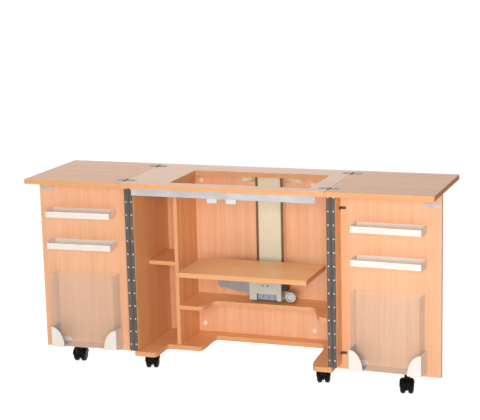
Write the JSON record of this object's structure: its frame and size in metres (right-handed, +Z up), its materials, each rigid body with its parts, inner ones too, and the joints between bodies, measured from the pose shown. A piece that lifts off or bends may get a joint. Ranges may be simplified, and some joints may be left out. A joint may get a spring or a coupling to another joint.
{
  "type": "sewing cabinet",
  "caption": "Rolling sewing cabinet with fold-over top leaves, swing-out storage doors and a lift platform that raises a machine through an opening in the top.",
  "frame": {"origin": "on the floor below the middle of the opened top", "axes": "+X along the opened top towards the right leaf, +Y towards the back panel, +Z up"},
  "size_m": [1.623, 0.45, 0.7785],
  "materials": {
    "beech_board": "satin",
    "top_board": "satin",
    "rail_metal": "satin",
    "catch_plastic": "matte",
    "white_plastic": "gloss",
    "screw_steel": "bright",
    "hinge_steel": "satin",
    "lift_metal": "satin",
    "knob_metal": "satin",
    "castor_black": "matte",
    "clear_plastic": "clear"
  },
  "bodies": {
    "carcass": {"base_panel": "beech_board", "left_side_panel": "beech_board", "right_side_panel": "beech_board", "back_panel": "beech_board", "lower_shelf": "beech_board", "bay_partition": "beech_board", "bay_shelf": "beech_board", "centre_top": "top_board", "front_rail": "rail_metal", "door_catches": "catch_plastic", "back_panel_caps": "white_plastic", "carcass_screws": "screw_steel", "lift_column": "lift_metal", "door_hinge_fixed_leaves": "hinge_steel", "door_hinge_pins": "hinge_steel", "door_hinge_fixed_screws": "screw_steel", "flap_hinge_fixed_plates": "hinge_steel", "flap_hinge_pins": "hinge_steel", "flap_hinge_fixed_screws": "screw_steel"},
    "platform": {"machine_platform": "beech_board", "platform_arms": "lift_metal", "platform_screws": "screw_steel", "lift_carriage": "lift_metal"},
    "lift_lock": {"lift_lock_knob": "knob_metal"},
    "left_leaf": {"left_leaf_board": "top_board", "left_leaf_hinge_plates": "hinge_steel", "left_leaf_hinge_screws": "screw_steel"},
    "left_door": {"left_door_panel": "beech_board", "left_door_stile": "beech_board", "left_door_hinge_leaf": "hinge_steel", "left_door_hinge_screws": "screw_steel", "left_stile_brackets": "hinge_steel", "left_door_trays": "white_plastic", "left_door_bin": "clear_plastic", "left_bin_brackets": "white_plastic", "left_catch_plate": "rail_metal"},
    "right_leaf": {"right_leaf_board": "top_board", "right_leaf_hinge_plates": "hinge_steel", "right_leaf_hinge_screws": "screw_steel"},
    "right_door": {"right_door_panel": "beech_board", "right_door_stile": "beech_board", "right_door_hinge_leaf": "hinge_steel", "right_door_hinge_screws": "screw_steel", "right_stile_brackets": "hinge_steel", "right_door_trays": "white_plastic", "right_door_bin": "clear_plastic", "right_bin_brackets": "white_plastic", "right_catch_plate": "rail_metal"},
    "front_left_castor": {"front_left_castor_hood": "castor_black"},
    "front_left_wheels": {"front_left_castor_wheels": "castor_black"},
    "front_right_castor": {"front_right_castor_hood": "castor_black"},
    "front_right_wheels": {"front_right_castor_wheels": "castor_black"},
    "rear_left_castor": {"rear_left_castor_hood": "castor_black"},
    "rear_left_wheels": {"rear_left_castor_wheels": "castor_black"},
    "rear_right_castor": {"rear_right_castor_hood": "castor_black"},
    "rear_right_wheels": {"rear_right_castor_wheels": "castor_black"},
    "left_door_castor": {"left_door_castor_hood": "castor_black"},
    "left_door_wheels": {"left_door_castor_wheels": "castor_black"},
    "right_door_castor": {"right_door_castor_hood": "castor_black"},
    "right_door_wheels": {"right_door_castor_wheels": "castor_black"}
  },
  "joints": [
    {"name": "left_leaf_fold", "type": "hinge", "parent": "carcass", "child": "left_leaf", "pos_m": [-0.405, 0, 0.7755], "axis": [0, 1, 0], "range_deg": [0, 180]},
    {"name": "left_door_swing", "type": "hinge", "parent": "carcass", "child": "left_door", "pos_m": [-0.4057, -0.1445, 0.4], "axis": [0, 0, 1], "range_deg": [-2.5, 177.5]},
    {"name": "right_leaf_fold", "type": "hinge", "parent": "carcass", "child": "right_leaf", "pos_m": [0.405, 0, 0.7755], "axis": [0, -1, 0], "range_deg": [0, 180]},
    {"name": "right_door_swing", "type": "hinge", "parent": "carcass", "child": "right_door", "pos_m": [0.4057, -0.1445, 0.4], "axis": [0, 0, -1], "range_deg": [-2.5, 177.5]},
    {"name": "platform_lift", "type": "slide", "parent": "carcass", "child": "platform", "axis": [0, 0, 1], "range_m": [0, 0.352]},
    {"name": "lift_lock_turn", "type": "hinge", "parent": "platform", "child": "lift_lock", "pos_m": [0.164, 0.1455, 0.277], "axis": [0, 1, 0], "range_deg": [0, 90]},
    {"name": "front_left_castor_swivel", "type": "hinge", "parent": "carcass", "child": "front_left_castor", "pos_m": [-0.355, -0.092, 0.066], "axis": [0, 0, 1], "continuous": true},
    {"name": "front_left_wheel_roll", "type": "hinge", "parent": "front_left_castor", "child": "front_left_wheels", "pos_m": [-0.36121, -0.06882, 0.028], "axis": [-0.9659, -0.2588, 0], "continuous": true},
    {"name": "front_right_castor_swivel", "type": "hinge", "parent": "carcass", "child": "front_right_castor", "pos_m": [0.355, -0.092, 0.066], "axis": [0, 0, 1], "continuous": true},
    {"name": "front_right_wheel_roll", "type": "hinge", "parent": "front_right_castor", "child": "front_right_wheels", "pos_m": [0.34879, -0.06882, 0.028], "axis": [-0.9659, -0.2588, 0], "continuous": true},
    {"name": "rear_left_castor_swivel", "type": "hinge", "parent": "carcass", "child": "rear_left_castor", "pos_m": [-0.355, 0.165, 0.066], "axis": [0, 0, 1], "continuous": true},
    {"name": "rear_left_wheel_roll", "type": "hinge", "parent": "rear_left_castor", "child": "rear_left_wheels", "pos_m": [-0.36121, 0.18818, 0.028], "axis": [-0.9659, -0.2588, 0], "continuous": true},
    {"name": "rear_right_castor_swivel", "type": "hinge", "parent": "carcass", "child": "rear_right_castor", "pos_m": [0.355, 0.165, 0.066], "axis": [0, 0, 1], "continuous": true},
    {"name": "rear_right_wheel_roll", "type": "hinge", "parent": "rear_right_castor", "child": "rear_right_wheels", "pos_m": [0.34879, 0.18818, 0.028], "axis": [-0.9659, -0.2588, 0], "continuous": true},
    {"name": "left_door_castor_swivel", "type": "hinge", "parent": "left_door", "child": "left_door_castor", "pos_m": [-0.67876, -0.08485, 0.066], "axis": [0, 0, 1], "continuous": true},
    {"name": "left_door_wheel_roll", "type": "hinge", "parent": "left_door_castor", "child": "left_door_wheels", "pos_m": [-0.68169, -0.06103, 0.028], "axis": [-0.9925, -0.1219, 0], "continuous": true},
    {"name": "right_door_castor_swivel", "type": "hinge", "parent": "right_door", "child": "right_door_castor", "pos_m": [0.67876, -0.08485, 0.066], "axis": [0, 0, 1], "continuous": true},
    {"name": "right_door_wheel_roll", "type": "hinge", "parent": "right_door_castor", "child": "right_door_wheels", "pos_m": [0.68334, -0.10841, 0.028], "axis": [0.9816, 0.1908, 0], "continuous": true}
  ]
}
